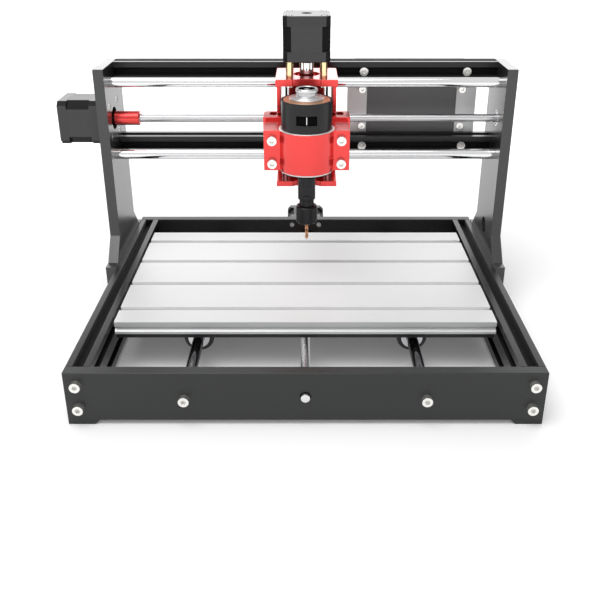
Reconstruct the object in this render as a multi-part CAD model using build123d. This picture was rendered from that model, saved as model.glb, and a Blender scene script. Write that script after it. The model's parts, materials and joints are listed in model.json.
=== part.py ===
from build123d import *
from math import cos, radians, sin, sqrt
import os

# A small three-axis router. Everything below is laid out in millimetres from the middle of the
# front plate's front face at floor level: X to the right, Y to the back, Z up. The last lines
# move it so that the origin is the centre of the whole machine's footprint on the floor.

# --- base frame -------------------------------------------------------------
base_width = 380            # over the two side rails
base_length = 330           # over the two end plates
base_top = 48               # top of the rails and end plates
plate_thickness = 10        # end plates
foot_height = 4             # the plates' corners reach this far below the rails
foot_length = 21.5
plate_edge_chamfer = 0.6
rail_width = 20
corner_screw_z = (15.8, 37.2)

# --- gantry -----------------------------------------------------------------
upright_thickness = 10
upright_height = 240
upright_centre_y = 254      # middle of both uprights
upright_depth = 70
upright_chamfer = 12
flare_depth = 108           # where the upright meets the top of its foot block
flare_rise = 22
foot_block_rise = 1         # a foot block stands this far above the rails
foot_block_depth = 130
foot_block_screw_inset = 14  # from either end of a foot block
cable_hole_radius = 8.5
cable_hole_z = 69
beam_size = 20
beam_front_y = 258
lower_beam_top = 164.5

# --- slotted extrusions -----------------------------------------------------
slot_mouth = 9.2            # width of a frame slot at the surface
slot_neck = 6.2
slot_neck_depth = 1.8
slot_chamber = 11
slot_depth = 6
slot_taper = 0.6            # how much narrower than its neck a slot's floor is, either side
slot_shoulder = 1.4

# --- rods, lead screws and their fits ----------------------------------------
rod_radius = 5              # X and Y guide rods
z_rod_radius = 4
screw_radius = 4            # lead screws
running_gap = 0.05          # radial play of anything that turns or slides on a shaft
fixed_gap = 0.02            # radial play of anything that is pressed or clamped
air_gap = 0.4               # motor rotor to stator
seat_depth = 4              # how far a guide rod enters the plate that carries it
seat_end_gap = 0.1          # between a rod's end and the bottom of its seat
rod_hole_depth = 18         # tapped hole in a guide rod's end
screw_hole_gap = 0.6        # round a lead screw that passes through a plate
x_rod_y = 239
x_rod_z = (152, 224)
y_rod_x = 96
y_rod_z = 24
x_screw_y = 246
x_screw_z = 187
y_screw_z = 26
y_screw_reach = 3           # how far the Y lead screw stands out of the front plate

# --- stepping motors -----------------------------------------------------------
motor_size = 42.3
motor_length = 40
motor_cap_length = 9
motor_corner = 4
motor_stack_corner = 6.5
motor_hole_pitch = 31
motor_pilot_radius = 11
motor_pilot_height = 2
pilot_gap = 0.2             # round a motor's pilot
motor_shaft_radius = 2.5
rotor_radius = 13
coupler_radius = 7
coupler_length = 25
coupler_gap = 0.5           # to the motor or the plate beside it
shaft_end_gap = 0.3         # between a shaft's end and the coupler's middle

# --- screw end bearings ---------------------------------------------------------
bearing_radius = 8
bearing_width = 5
bearing_groove_width = 2    # between the two rings, on either face
bearing_groove_depth = 0.5

# --- bed ------------------------------------------------------------------------
bed_width = 333
bed_length = 200
bed_thickness = 12
bed_top = 50
bed_front_y = 77
bed_slot_count = 4
bed_slot_mouth = 6.2
bed_slot_neck_depth = 3
bed_slot_chamber = 11.4
bed_slot_depth = 8
bed_edge_lip = 4.6
bed_edge_groove = 5
bed_edge_groove_depth = 2.5
support_thickness = 4
support_inset = 1
linear_bearing_radius = 9.5     # on the 10 mm rods
linear_bearing_length = 29
retainer_inset = 3          # from a linear bearing's end to its retaining groove
retainer_width = 1.1
retainer_depth = 0.5
holder_radius = 13.5
holder_length = 24
holder_inset = 19           # from the bed's end to the holder
holder_wing = 8             # beside the ring, for the screws
holder_wing_height = 6
bracket_half = 18           # half the width of the nut bracket
bracket_depth = 14
bracket_height = 6
bracket_screw_inset = 3.5
bed_screw_x = 140
bed_screw_inset = 50        # from the bed's front and back
bed_hole_depth = 3.5
nut_radius = 5.1
nut_length = 15
nut_flange_radius = 11
nut_flange_thickness = 3.5
nut_flange_gap = 1          # round the flange, in the plate above it
nut_hole_circle = 8         # radius of the circle through the flange's small holes
nut_block_half = 11         # half the side of the block that a lead screw's nut sits in

# --- carriage on the X rods -------------------------------------------------------
carriage_x = 1.1            # rest position, to the right of the machine's middle
carriage_width = 56
carriage_bottom = 139
carriage_top = 239
top_plate_thickness = 6
bottom_plate_thickness = 5
carriage_front_y = 178
carriage_back_y = 232
channel_front_y = 212       # front edge of the side arms
channel_web = 8
arm_thickness = 3
x_housing_radius = 12.5
x_bearing_length = 24
x_bearing_inset = 1
x_nut_block_half = 14       # half the length of the X nut's block
web_screw_x = 16            # from the carriage's middle
web_screw_inset = 4.5       # from the channel's back
z_rod_cover = 2             # of the top plate above a Z rod's end
recess_gap = 1.5            # round the spindle, in the top and bottom plates
screw_slot_gap = 1          # round the X lead screw, in the channel
tapped_depth = 12           # holes in the ends of the channel
z_motor_y = 205
z_motor_gap = 14            # height of the standoffs
z_coupler_radius = 6.5
z_coupler_length = 20
z_hole_radius = 12
standoff_radius = 3.2

# --- Z slide, spindle mount ---------------------------------------------------------
z_rod_x = 19.5
z_rod_y = 198
z_bearing_radius = 7.5
z_bearing_length = 24
slide_width = 80
slide_front_y = 186
slide_back_y = 210
slide_bottom = 164
slide_top = 203
mount_width = 76
mount_front_y = 150
mount_top = 200.4
mount_screw_x = 30.6
mount_screw_z = (171, 192)
slide_pocket_x = 31         # from the slide's middle to the pockets in its top
slide_pocket_y = 200.5
slide_pocket_size = (12, 7)
slide_pocket_depth = 6
clamp_wall = 2.5            # of the mount round the sleeve
clamp_slit = 1
clamp_slit_back = 5         # slit behind the spindle's axis

# --- spindle ---------------------------------------------------------------------------
spindle_y = 158
sleeve_radius = 22.5
sleeve_wall = 1.3
sleeve_top = 226.5
sleeve_bottom = 162
sleeve_window_z = (208, 216.5)
sleeve_window_half = 9      # half the window's width
can_wall = 1.2
can_bottom = 160.5
end_cap_depth = 6           # how far the end cap reaches into the can
end_cap_gap = 0.6           # between the end cap's rim and the sleeve
end_boss_radius = 9.7
end_disc_radius = 15.4
end_disc_height = 2.7
end_boss_height = 7
shaft_radius = 2.5
armature_radius = 15
chuck_radius = 8
chuck_bottom = 134
chuck_neck_radius = 6.7
nut_top = 128
nut_bottom = 111.5
collet_nut_radius = 9.8
nut_groove_radius = 1.8     # grooves along the collet nut
collet_depth = 18
collet_radii = (4.6, 3.2)   # at the bottom and the top of the taper
collet_gap = 0.05
collet_slit = 0.5
tool_radius = 3.175 / 2
tool_tip = 93.7

# --- control box behind the beams ----------------------------------------------------
box_left_x = 51
box_right_x = 167
box_bottom = 146
box_top = 234
box_depth = 32
box_wall = 2
box_post = 8                # square posts that the screws go into
strip_centres_x = (53, 165)
strip_width = 20
strip_thickness = 2.5
strip_screw_offset = 5      # from a strip's middle towards the box's middle
board_stand_off = 10
board_thickness = 1.6
rocker_radius = 7
rocker_width = 9.4
rocker_tilt = 8             # to either side of its middle position
rocker_z = 216
window_gap = 0.3            # round the rocker and the sockets
lug_thickness = 2.7         # of the rocker's bearings
pivot_radius = 1
socket_z = (168, 188)       # power socket and data socket
socket_size = (11, 12)
vent_count = 7
vent_height = 3
vent_pitch = 8
vent_inset = 24             # from the box's inner sides
vent_bottom = 20            # from the box's bottom to the lowest vent

# --- screws: shank radius, head radius, head height --------------------------------
M5 = (2.5, 4.25, 5)
M4 = (2, 3.5, 4)
M3 = (1.5, 2.75, 3)
head_gap = 0.5              # round a sunk head
head_sink = 0.3             # a sunk head's top lies this far below the surface
thread_gap = 0.1            # round a shank
screw_depth = 16            # below a sunk head, into a rod or a beam
plate_screw_length = 21     # through an end plate into a rail or a rod
block_screw_length = 10     # below a sunk head, through a foot block into its slot nut
slot_nut_length = 10
slot_nut_gap = 0.3
motor_screw_length = 10.5


# ---------------------------------------------------------------------------
# helpers
# ---------------------------------------------------------------------------
def block(x, y, z):
    """A box from three (low, high) pairs."""
    low = (x[0], y[0], z[0])
    size = (x[1] - x[0], y[1] - y[0], z[1] - z[0])
    return Pos(*low) * Box(*size, align=(Align.MIN, Align.MIN, Align.MIN))


def bar(axis, radius, span, place):
    """A cylinder along an axis over span, with its centre line at place on the other two axes."""
    length = span[1] - span[0]
    middle = (span[0] + span[1]) / 2
    shape = Cylinder(radius, length)
    if axis == "X":
        return Pos(middle, place[0], place[1]) * Rot(0, 90, 0) * shape
    if axis == "Y":
        return Pos(place[0], middle, place[1]) * Rot(90, 0, 0) * shape
    return Pos(place[0], place[1], middle) * shape


def tube(axis, outer, inner, span, place):
    """A bar with a bore right through it."""
    return bar(axis, outer, span, place) - bar(axis, inner, span, place)


def hexagon(axis, across_flats, span, place):
    """A hexagonal prism along an axis."""
    prism = extrude(RegularPolygon(across_flats / 2, 6, major_radius=False), span[1] - span[0])
    if axis == "X":
        return Pos(span[0], place[0], place[1]) * Rot(0, 90, 0) * prism
    if axis == "Y":
        return Pos(place[0], span[0], place[1]) * Rot(-90, 0, 0) * prism
    return Pos(place[0], place[1], span[0]) * prism


def along(axis, sketch, span, place=(0, 0)):
    """Extrude a section over span along X or Y. The sketch's own Y points up."""
    if axis == "X":
        plane = Plane(origin=(span[0], place[0], place[1]), x_dir=(0, 1, 0), z_dir=(1, 0, 0))
    else:
        plane = Plane(origin=(place[0], span[0], place[1]), x_dir=(-1, 0, 0), z_dir=(0, 1, 0))
    return extrude(plane * sketch, span[1] - span[0])


def together(shapes):
    """Separate solids that share one node."""
    return Compound(children=list(shapes))


def cut(shape, cutters):
    """The shape without any of the cutters."""
    for cutter in cutters:
        shape = shape - cutter
    return shape


def socket_screw(kind, length, direction, place, sink=0):
    """A socket-head screw. Its head's top is sink below place and its shank points along direction."""
    shank_radius, head_radius, head_height = kind
    screw = Cylinder(head_radius, head_height, align=(Align.CENTER, Align.CENTER, Align.MAX))
    screw += Pos(0, 0, -head_height) * Cylinder(
        shank_radius, length, align=(Align.CENTER, Align.CENTER, Align.MAX))
    socket = extrude(RegularPolygon(head_radius * 0.5, 6), -head_height * 0.55)
    return place_on(Pos(0, 0, -sink) * (screw - socket), direction, place)


def sunk_screw(kind, length, direction, place):
    """A screw whose head lies just below the surface at place."""
    return socket_screw(kind, length, direction, place, head_sink)


def screw_hole(kind, length, direction, place, sink=None):
    """Room for a socket screw: a counterbore for the head and a clearance hole for the shank."""
    shank_radius, head_radius, head_height = kind
    sink = head_height + head_sink if sink is None else sink
    hole = Pos(0, 0, 1) * Cylinder(
        shank_radius + thread_gap, sink + length + 1.5, align=(Align.CENTER, Align.CENTER, Align.MAX))
    if sink > 0:
        hole += Pos(0, 0, 1) * Cylinder(
            head_radius + head_gap, sink + 1, align=(Align.CENTER, Align.CENTER, Align.MAX))
    return place_on(hole, direction, place)


def place_on(shape, direction, place):
    """Turn a shape built along -Z so that it points along direction, and put it at place."""
    turns = {"-Z": (0, 0, 0), "+Z": (180, 0, 0), "+Y": (90, 0, 0), "-Y": (-90, 0, 0),
             "+X": (0, -90, 0), "-X": (0, 90, 0)}
    return Pos(*place) * Rot(*turns[direction]) * shape


def square(pitch, centre=(0, 0)):
    """The four corners of a square hole pattern."""
    half = pitch / 2
    return [(centre[0] + a * half, centre[1] + b * half) for a in (-1, 1) for b in (-1, 1)]


def frame_slot():
    """The slot of an extrusion, opening upwards at the sketch's origin."""
    m, n, c = slot_mouth / 2, slot_neck / 2, slot_chamber / 2
    d, e = slot_neck_depth, slot_depth
    f, b = n - slot_taper, d + slot_shoulder
    outline = Polyline((-m, 1), (m, 1), (m, 0), (n, -d), (c, -d), (c, -b), (f, -e), (-f, -e),
                       (-c, -b), (-c, -d), (-n, -d), (-m, 0), (-m, 1))
    return make_face(outline)


def extrusion_profile(width, height, side_slots, bores):
    """A slotted profile: one slot on top and bottom, and side slots at the given heights."""
    profile = Rectangle(width, height)
    profile -= Pos(0, height / 2) * frame_slot()
    profile -= Pos(0, -height / 2) * Rot(0, 0, 180) * frame_slot()
    for v in side_slots:
        profile -= Pos(-width / 2, v) * Rot(0, 0, 90) * frame_slot()
        profile -= Pos(width / 2, v) * Rot(0, 0, -90) * frame_slot()
    for v in bores:
        profile -= Pos(0, v) * Circle(M5[0] + thread_gap)
    return profile


parts = {}


# ---------------------------------------------------------------------------
# base frame
# ---------------------------------------------------------------------------
half_width = base_width / 2
rail_height = base_top - foot_height
rail_x = half_width - rail_width / 2
inner_front = plate_thickness
inner_back = base_length - plate_thickness


def end_plate(front, back):
    """A plate across the machine that stands on a foot at either end."""
    z0, z1, w = foot_height, base_top, half_width
    inner = w - foot_length
    outline = Polyline((-w, 0), (-inner, 0), (-inner + z0, z0), (inner - z0, z0), (inner, 0),
                       (w, 0), (w, z1), (-w, z1), (-w, 0))
    plate = along("Y", make_face(outline), (front, back))
    return chamfer(plate.edges().filter_by(Axis.X).sort_by(Axis.Z)[-2:], plate_edge_chamfer)


def plate_points():
    """Where the screws go through an end plate, into the rails and the Y rods."""
    points = [(side * rail_x, z) for side in (-1, 1) for z in corner_screw_z]
    return points + [(side * y_rod_x, y_rod_z) for side in (-1, 1)]


def plate_screws(head_face, direction):
    """The screws of an end plate. Their heads stand on the outside of the plate."""
    return [socket_screw(M5, plate_screw_length, direction, (x, head_face, z)) for x, z in plate_points()]


def plate_holes(front, back):
    return [bar("Y", M5[0] + thread_gap, (front, back), place) for place in plate_points()]


def rod_seats(face, back):
    """The blind holes that carry the ends of the Y rods."""
    return [bar("Y", rod_radius + fixed_gap, (face, back), (side * y_rod_x, y_rod_z))
            for side in (-1, 1)]


front_plate = end_plate(0, plate_thickness)
front_plate = cut(front_plate, plate_holes(0, plate_thickness))
front_plate = cut(front_plate, rod_seats(inner_front - seat_depth, inner_front))
front_plate -= bar("Y", bearing_radius + fixed_gap, (inner_front - bearing_width, inner_front),
                   (0, y_screw_z))
front_plate -= bar("Y", screw_radius + screw_hole_gap, (-1, inner_front), (0, y_screw_z))
parts["front_plate"] = front_plate

rear_plate = end_plate(inner_back, base_length)
rear_plate = cut(rear_plate, plate_holes(inner_back, base_length))
rear_plate = cut(rear_plate, rod_seats(inner_back, inner_back + seat_depth))
rear_plate -= bar("Y", motor_pilot_radius + pilot_gap, (inner_back - 1, base_length + 1), (0, y_screw_z))
motor_plate_holes = square(motor_hole_pitch, (0, y_screw_z))
rear_plate = cut(rear_plate, [screw_hole(M3, 12, "+Y", (x, inner_back, z)) for x, z in motor_plate_holes])
parts["rear_plate"] = rear_plate

rail_middle = (foot_height + base_top) / 2
rail_sketch = extrusion_profile(rail_width, rail_height, [z - rail_middle for z in corner_screw_z],
                                [z - rail_middle for z in corner_screw_z])
block_screw_reach = foot_block_depth / 2 - foot_block_screw_inset
block_screws_y = (upright_centre_y - block_screw_reach, upright_centre_y + block_screw_reach)
for name, side in (("left_rail", -1), ("right_rail", 1)):
    parts[name] = along("Y", rail_sketch, (inner_front, inner_back), (side * rail_x, rail_middle))

# ---------------------------------------------------------------------------
# gantry
# ---------------------------------------------------------------------------
inner_face = half_width
outer_face = half_width + upright_thickness
beam_centre_y = beam_front_y + beam_size / 2
top_beam_z = upright_height - beam_size / 2
lower_beam_z = lower_beam_top - beam_size / 2


def upright_outline():
    """An upright seen from the side: foot block, flare, post and the chamfer at its top."""
    c, low, top = upright_centre_y, foot_height, upright_height
    d, f, b = upright_depth / 2, flare_depth / 2, foot_block_depth / 2
    k = upright_chamfer
    block_top = base_top + foot_block_rise
    flare_top = block_top + flare_rise
    return make_face(Polyline(
        (c - b, low), (c - b, block_top), (c - f, block_top), (c - d, flare_top), (c - d, top),
        (c + d - k, top), (c + d, top - k), (c + d, flare_top), (c + f, block_top),
        (c + b, block_top), (c + b, low), (c - b, low)))


def upright_screws(build, side):
    """What build makes at each screw through an upright: foot block, X rods and beams."""
    points = [(y, z, block_screw_length) for y in block_screws_y for z in corner_screw_z]
    points += [(x_rod_y, z, screw_depth) for z in x_rod_z]
    points += [(beam_centre_y, z, screw_depth) for z in (top_beam_z, lower_beam_z)]
    direction = "+X" if side < 0 else "-X"
    return [build(M5, length, direction, (side * outer_face, y, z)) for y, z, length in points]


def slot_nuts(side):
    """The nuts in a rail's outer slots that take the screws through an upright's foot block."""
    g, t = slot_chamber / 2 - slot_nut_gap, slot_neck / 2 - slot_taper - thread_gap
    d, e = slot_neck_depth + thread_gap, slot_depth - slot_nut_gap
    shoulder = -d - slot_shoulder + 2 * thread_gap
    outline = make_face(Polyline((-g, -d), (g, -d), (g, shoulder), (t, -e), (-t, -e), (-g, shoulder),
                                 (-g, -d)))
    nuts = []
    for y in block_screws_y:
        for z in corner_screw_z:
            span = (y - slot_nut_length / 2, y + slot_nut_length / 2)
            nut = along("Y", Rot(0, 0, 90 * side) * outline, span, (side * half_width, z))
            through = sorted((side * (half_width - slot_depth), side * half_width))
            nuts.append(nut - bar("X", M5[0] + thread_gap, through, (y, z)))
    return nuts


def upright(side):
    """One upright with its screw holes and the blind holes that carry the X rods."""
    plate = along("X", upright_outline(), sorted((side * inner_face, side * outer_face)))
    plate = cut(plate, upright_screws(screw_hole, side))
    inside = sorted((side * (inner_face - 1), side * (inner_face + seat_depth)))
    return cut(plate, [bar("X", rod_radius + fixed_gap, inside, (x_rod_y, z)) for z in x_rod_z])


left_upright = upright(-1)
left_upright -= bar("X", motor_pilot_radius + pilot_gap, (-outer_face - 1, -inner_face + 1),
                    (x_screw_y, x_screw_z))
left_upright = cut(left_upright, [screw_hole(M3, 12, "-X", (-inner_face, y, z))
                                  for y, z in square(motor_hole_pitch, (x_screw_y, x_screw_z))])
parts["left_upright"] = left_upright

right_upright = upright(1)
right_upright -= bar("X", bearing_radius + fixed_gap, (inner_face - 1, inner_face + bearing_width),
                     (x_screw_y, x_screw_z))
right_upright -= bar("X", cable_hole_radius, (inner_face - 1, outer_face + 1),
                     (upright_centre_y, cable_hole_z))
parts["right_upright"] = right_upright

beam_sketch = extrusion_profile(beam_size, beam_size, [0], [0])
beam_screw_x = (strip_centres_x[0] + strip_screw_offset, strip_centres_x[1] - strip_screw_offset)
for name, z in (("top_beam", top_beam_z), ("lower_beam", lower_beam_z)):
    beam = along("X", beam_sketch, (-inner_face, inner_face), (beam_centre_y, z))
    beam = cut(beam, [bar("Y", M5[0] + thread_gap, (beam_front_y, beam_front_y + beam_size), (x, z))
                      for x in beam_screw_x])
    parts[name] = cut(beam, [bar("Y", M5[1] + head_gap, (beam_front_y, beam_front_y + slot_depth), (x, z))
                             for x in beam_screw_x])

frame_screws = plate_screws(-M5[2], "+Y") + plate_screws(base_length + M5[2], "-Y")
for side in (-1, 1):
    frame_screws += upright_screws(sunk_screw, side) + slot_nuts(side)
parts["frame_screws"] = together(frame_screws)


# ---------------------------------------------------------------------------
# guide rods
# ---------------------------------------------------------------------------
def tapped_rod(axis, span, place):
    """A guide rod with a tapped hole in each end for the screw that holds it."""
    rod = bar(axis, rod_radius, span, place)
    rod = chamfer(rod.edges(), 0.6)
    hole = M5[0] + thread_gap
    for end in ((span[0], span[0] + rod_hole_depth), (span[1] - rod_hole_depth, span[1])):
        rod -= bar(axis, hole, end, place)
    return rod


rod_entry = seat_depth - seat_end_gap
x_rod_span = (-inner_face - rod_entry, inner_face + rod_entry)
y_rod_span = (inner_front - rod_entry, inner_back + rod_entry)
parts["x_rods"] = together([tapped_rod("X", x_rod_span, (x_rod_y, z)) for z in x_rod_z])
parts["y_rods"] = together([tapped_rod("Y", y_rod_span, (side * y_rod_x, y_rod_z))
                            for side in (-1, 1)])


# ---------------------------------------------------------------------------
# stepping motors, built with the mounting face at Z = 0, the shaft along +Z
# ---------------------------------------------------------------------------
def motor_section(corner):
    """A motor's square outline with its corners cut off."""
    return chamfer(Rectangle(motor_size, motor_size).vertices(), corner)


def motor_parts(shaft_reach):
    """The front cap, laminated stack and back cap, and the rotor with its shaft."""
    cap, length = motor_cap_length, motor_length
    gap = rotor_radius + air_gap
    bore = motor_shaft_radius + running_gap
    stack = Pos(0, 0, cap - length) * extrude(motor_section(motor_stack_corner), length - 2 * cap)
    stack -= bar("Z", gap, (cap - length, -cap), (0, 0))
    front = Pos(0, 0, -cap) * extrude(motor_section(motor_corner), cap)
    front += bar("Z", motor_pilot_radius, (0, motor_pilot_height), (0, 0))
    front -= bar("Z", gap, (-cap, -cap + 4), (0, 0))
    front -= bar("Z", bore, (-cap, motor_pilot_height), (0, 0))
    front = cut(front, [bar("Z", M3[0] + thread_gap, (-5, 0), place) for place in square(motor_hole_pitch)])
    back = Pos(0, 0, -length) * extrude(motor_section(motor_corner), cap)
    back -= bar("Z", gap, (cap - length - 4, cap - length), (0, 0))
    back -= bar("Z", bore, (2.5 - length, cap - length), (0, 0))
    back -= bar("Z", 4.2, (-length, 1.5 - length), (0, 0))
    back -= block((-8, 8), (motor_size / 2 - 5, motor_size / 2), (cap - length - 7, cap - length))
    rotor = bar("Z", rotor_radius, (cap - length - 3, -cap + 3), (0, 0))
    rotor += bar("Z", motor_shaft_radius, (3 - length, shaft_reach), (0, 0))
    return (front, stack, back), rotor


def add_motor(name, location, shaft_reach):
    """Put one motor in place, as a body and a rotor."""
    body, rotor = motor_parts(shaft_reach)
    parts[name + "_motor_body"] = together([location * shape for shape in body])
    parts[name + "_motor_rotor"] = location * rotor


z_motor_face = carriage_top + z_motor_gap
x_coupler = (-inner_face + coupler_gap, -inner_face + coupler_gap + coupler_length)
y_coupler = (inner_back - coupler_gap, inner_back - coupler_gap - coupler_length)
z_coupler_top = z_motor_face - motor_pilot_height - coupler_gap
z_coupler = (z_coupler_top, z_coupler_top - z_coupler_length)


def reach(face, span):
    """How far a motor's shaft stands out of its mounting face: almost to the coupler's middle."""
    return abs((span[0] + span[1]) / 2 - face) - shaft_end_gap


add_motor("x", Pos(-outer_face, x_screw_y, x_screw_z) * Rot(0, 90, 0) * Rot(0, 0, -90),
          reach(-outer_face, x_coupler))
add_motor("y", Pos(0, base_length, y_screw_z) * Rot(90, 0, 0) * Rot(0, 0, 180),
          reach(base_length, y_coupler))
add_motor("z", Pos(carriage_x, z_motor_y, z_motor_face) * Rot(180, 0, 0),
          reach(z_motor_face, z_coupler))

small_screws = [sunk_screw(M3, motor_screw_length, "+Y", (x, inner_back, z))
                for x, z in motor_plate_holes]
small_screws += [sunk_screw(M3, motor_screw_length, "-X", (-inner_face, y, z))
                 for y, z in square(motor_hole_pitch, (x_screw_y, x_screw_z))]


# ---------------------------------------------------------------------------
# couplers and lead screws
# ---------------------------------------------------------------------------
def coupler(axis, radius, motor_side, screw_side, place):
    """A sleeve bored for the motor's shaft at one end and for the lead screw at the other."""
    low, high = sorted((motor_side, screw_side))
    middle = (low + high) / 2
    body = bar(axis, radius, (low, high), place)
    body = chamfer(body.edges(), 0.6)
    shaft_end = sorted((motor_side, middle))
    screw_end = sorted((screw_side, middle))
    body -= bar(axis, motor_shaft_radius + fixed_gap, shaft_end, place)
    return body - bar(axis, screw_radius + fixed_gap, screw_end, place)


parts["x_coupler"] = coupler("X", coupler_radius, *x_coupler, (x_screw_y, x_screw_z))
parts["y_coupler"] = coupler("Y", coupler_radius, *y_coupler, (0, y_screw_z))
parts["z_coupler"] = coupler("Z", z_coupler_radius, *z_coupler, (carriage_x, z_motor_y))


def lead_screw(axis, coupler_span, far_end, place):
    """A lead screw from the middle of its coupler to its end bearing."""
    middle = (coupler_span[0] + coupler_span[1]) / 2
    start = middle + (shaft_end_gap if far_end > middle else -shaft_end_gap)
    screw = bar(axis, screw_radius, sorted((start, far_end)), place)
    return chamfer(screw.edges(), 0.5)


parts["x_lead_screw"] = lead_screw("X", x_coupler, inner_face + bearing_width - shaft_end_gap,
                                   (x_screw_y, x_screw_z))
parts["y_lead_screw"] = lead_screw("Y", y_coupler, -y_screw_reach, (0, y_screw_z))
parts["z_lead_screw"] = lead_screw("Z", z_coupler, carriage_bottom + 0.5, (carriage_x, z_motor_y))


def end_bearing(axis, span, place):
    """A small ball bearing: its bore runs on the end of a lead screw."""
    ring = tube(axis, bearing_radius, screw_radius + running_gap, span, place)
    outer = (bearing_radius + screw_radius + bearing_groove_width) / 2
    inner = outer - bearing_groove_width
    depth = bearing_groove_depth
    groove_low = tube(axis, outer, inner, (span[0], span[0] + depth), place)
    groove_high = tube(axis, outer, inner, (span[1] - depth, span[1]), place)
    return ring - groove_low - groove_high


parts["screw_bearings"] = together([
    end_bearing("X", (inner_face, inner_face + bearing_width), (x_screw_y, x_screw_z)),
    end_bearing("Y", (inner_front - bearing_width, inner_front), (0, y_screw_z))])
z_bearing_span = (carriage_bottom, carriage_bottom + bottom_plate_thickness)
parts["z_screw_bearing"] = end_bearing("Z", z_bearing_span, (carriage_x, z_motor_y))

# ---------------------------------------------------------------------------
# bed
# ---------------------------------------------------------------------------
bed_bottom = bed_top - bed_thickness
bed_back_y = bed_front_y + bed_length
bed_centre_y = (bed_front_y + bed_back_y) / 2
bed_pitch = bed_length / bed_slot_count
bed_slots_y = [bed_front_y + bed_pitch * (i + 0.5) for i in range(bed_slot_count)]
support_bottom = bed_bottom - support_thickness


def bed_profile():
    """The table's section: T-slots on top, a V-groove along the front and back edges."""
    top, low = bed_top, bed_bottom
    profile = Pos(bed_centre_y, (top + low) / 2) * Rectangle(bed_length, bed_thickness)
    m, c = bed_slot_mouth / 2, bed_slot_chamber / 2
    neck, deep = top - bed_slot_neck_depth, top - bed_slot_depth
    for y in bed_slots_y:
        profile -= make_face(Polyline((y - m, top), (y + m, top), (y + m, neck), (y + c, neck),
                                      (y + c, deep), (y - c, deep), (y - c, neck), (y - m, neck),
                                      (y - m, top)))
    a, b = top - bed_edge_lip, top - bed_edge_lip - bed_edge_groove
    for edge, inwards in ((bed_front_y, 1), (bed_back_y, -1)):
        deepest = edge + inwards * bed_edge_groove_depth
        profile -= make_face(Polyline((edge, a), (deepest, a - 0.8), (deepest, b + 2), (edge, b),
                                      (edge, a)))
    return profile


bed = along("X", bed_profile(), (-bed_width / 2, bed_width / 2))

# The bearing holders stand at the corners of a rectangle and the nut bracket in its middle.
holder_spans = [(bed_front_y + holder_inset, bed_front_y + holder_inset + holder_length),
                (bed_back_y - holder_inset - holder_length, bed_back_y - holder_inset)]
holder_screws = [(sx * y_rod_x + s * (holder_radius + holder_wing / 2), (lo + hi) / 2)
                 for sx in (-1, 1) for lo, hi in holder_spans for s in (-1, 1)]
bracket_screws_xy = [(s * (bracket_half - bracket_screw_inset), bed_centre_y) for s in (-1, 1)]
bed_screw_rows = (bed_front_y + bed_screw_inset, bed_centre_y, bed_back_y - bed_screw_inset)
bed_screws_xy = [(s * bed_screw_x, y) for s in (-1, 1) for y in bed_screw_rows]
bed_holes = holder_screws + bracket_screws_xy + bed_screws_xy
bracket_y = (bed_centre_y - bracket_depth / 2, bed_centre_y + bracket_depth / 2)
bracket_bottom = support_bottom - bracket_height

support = block((-bed_width / 2 + support_inset, bed_width / 2 - support_inset),
                (bed_front_y + support_inset, bed_back_y - support_inset), (support_bottom, bed_bottom))
support = cut(support, [bar("Z", M4[0] + thread_gap, (support_bottom, bed_bottom), place)
                        for place in bed_holes])
flange_y = (bracket_y[0] - nut_flange_thickness - nut_flange_gap, bracket_y[0] + nut_flange_gap / 2)
flange_x = (-nut_flange_radius - nut_flange_gap, nut_flange_radius + nut_flange_gap)
support -= block(flange_x, flange_y, (support_bottom, bed_bottom))
parts["bed_support_plate"] = support
parts["bed"] = cut(bed, [bar("Z", M4[0] + thread_gap, (bed_bottom, bed_bottom + bed_hole_depth), place)
                         for place in bed_holes])


def bearing_holder(x, span):
    """A ring round a linear bearing, with a flat top and two wings that the screws go through."""
    ring = bar("Y", holder_radius, span, (x, y_rod_z))
    wide = holder_radius + holder_wing
    ring += block((x - wide, x + wide), span, (support_bottom - holder_wing_height, support_bottom))
    ring -= block((x - wide, x + wide), span, (support_bottom, support_bottom + holder_radius))
    ring -= bar("Y", linear_bearing_radius + fixed_gap, span, (x, y_rod_z))
    places = [(x + s * (holder_radius + holder_wing / 2), (span[0] + span[1]) / 2) for s in (-1, 1)]
    through = (support_bottom - holder_wing_height, support_bottom)
    return cut(ring, [bar("Z", M4[0] + thread_gap, through, p) for p in places])


def linear_bearing(axis, outer, rod, span, place):
    """A linear ball bearing with its two retaining grooves."""
    body = tube(axis, outer, rod + running_gap, span, place)
    low, high = span[0] + retainer_inset, span[1] - retainer_inset
    for groove in ((low, low + retainer_width), (high - retainer_width, high)):
        body -= tube(axis, outer + 1, outer - retainer_depth, groove, place)
    return body


overhang = (linear_bearing_length - holder_length) / 2
y_bearing_spans = [(low - overhang, high + overhang) for low, high in holder_spans]
parts["y_bearing_holders"] = together([bearing_holder(s * y_rod_x, span)
                                       for s in (-1, 1) for span in holder_spans])
parts["y_bearings"] = together([
    linear_bearing("Y", linear_bearing_radius, rod_radius, span, (s * y_rod_x, y_rod_z))
    for s in (-1, 1) for span in y_bearing_spans])


def flange_nut(axis, flange_at, direction, place):
    """A brass nut: a round body behind a flange with four small holes."""
    flange = sorted((flange_at, flange_at + direction * nut_flange_thickness))
    body = sorted((flange_at, flange_at - direction * (nut_length - nut_flange_thickness)))
    nut = bar(axis, nut_flange_radius, flange, place) + bar(axis, nut_radius, body, place)
    nut -= bar(axis, screw_radius + running_gap, (min(flange + body), max(flange + body)), place)
    for corner in square(nut_hole_circle * sqrt(2), place):
        nut -= bar(axis, M3[0], flange, corner)
    return nut


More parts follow.
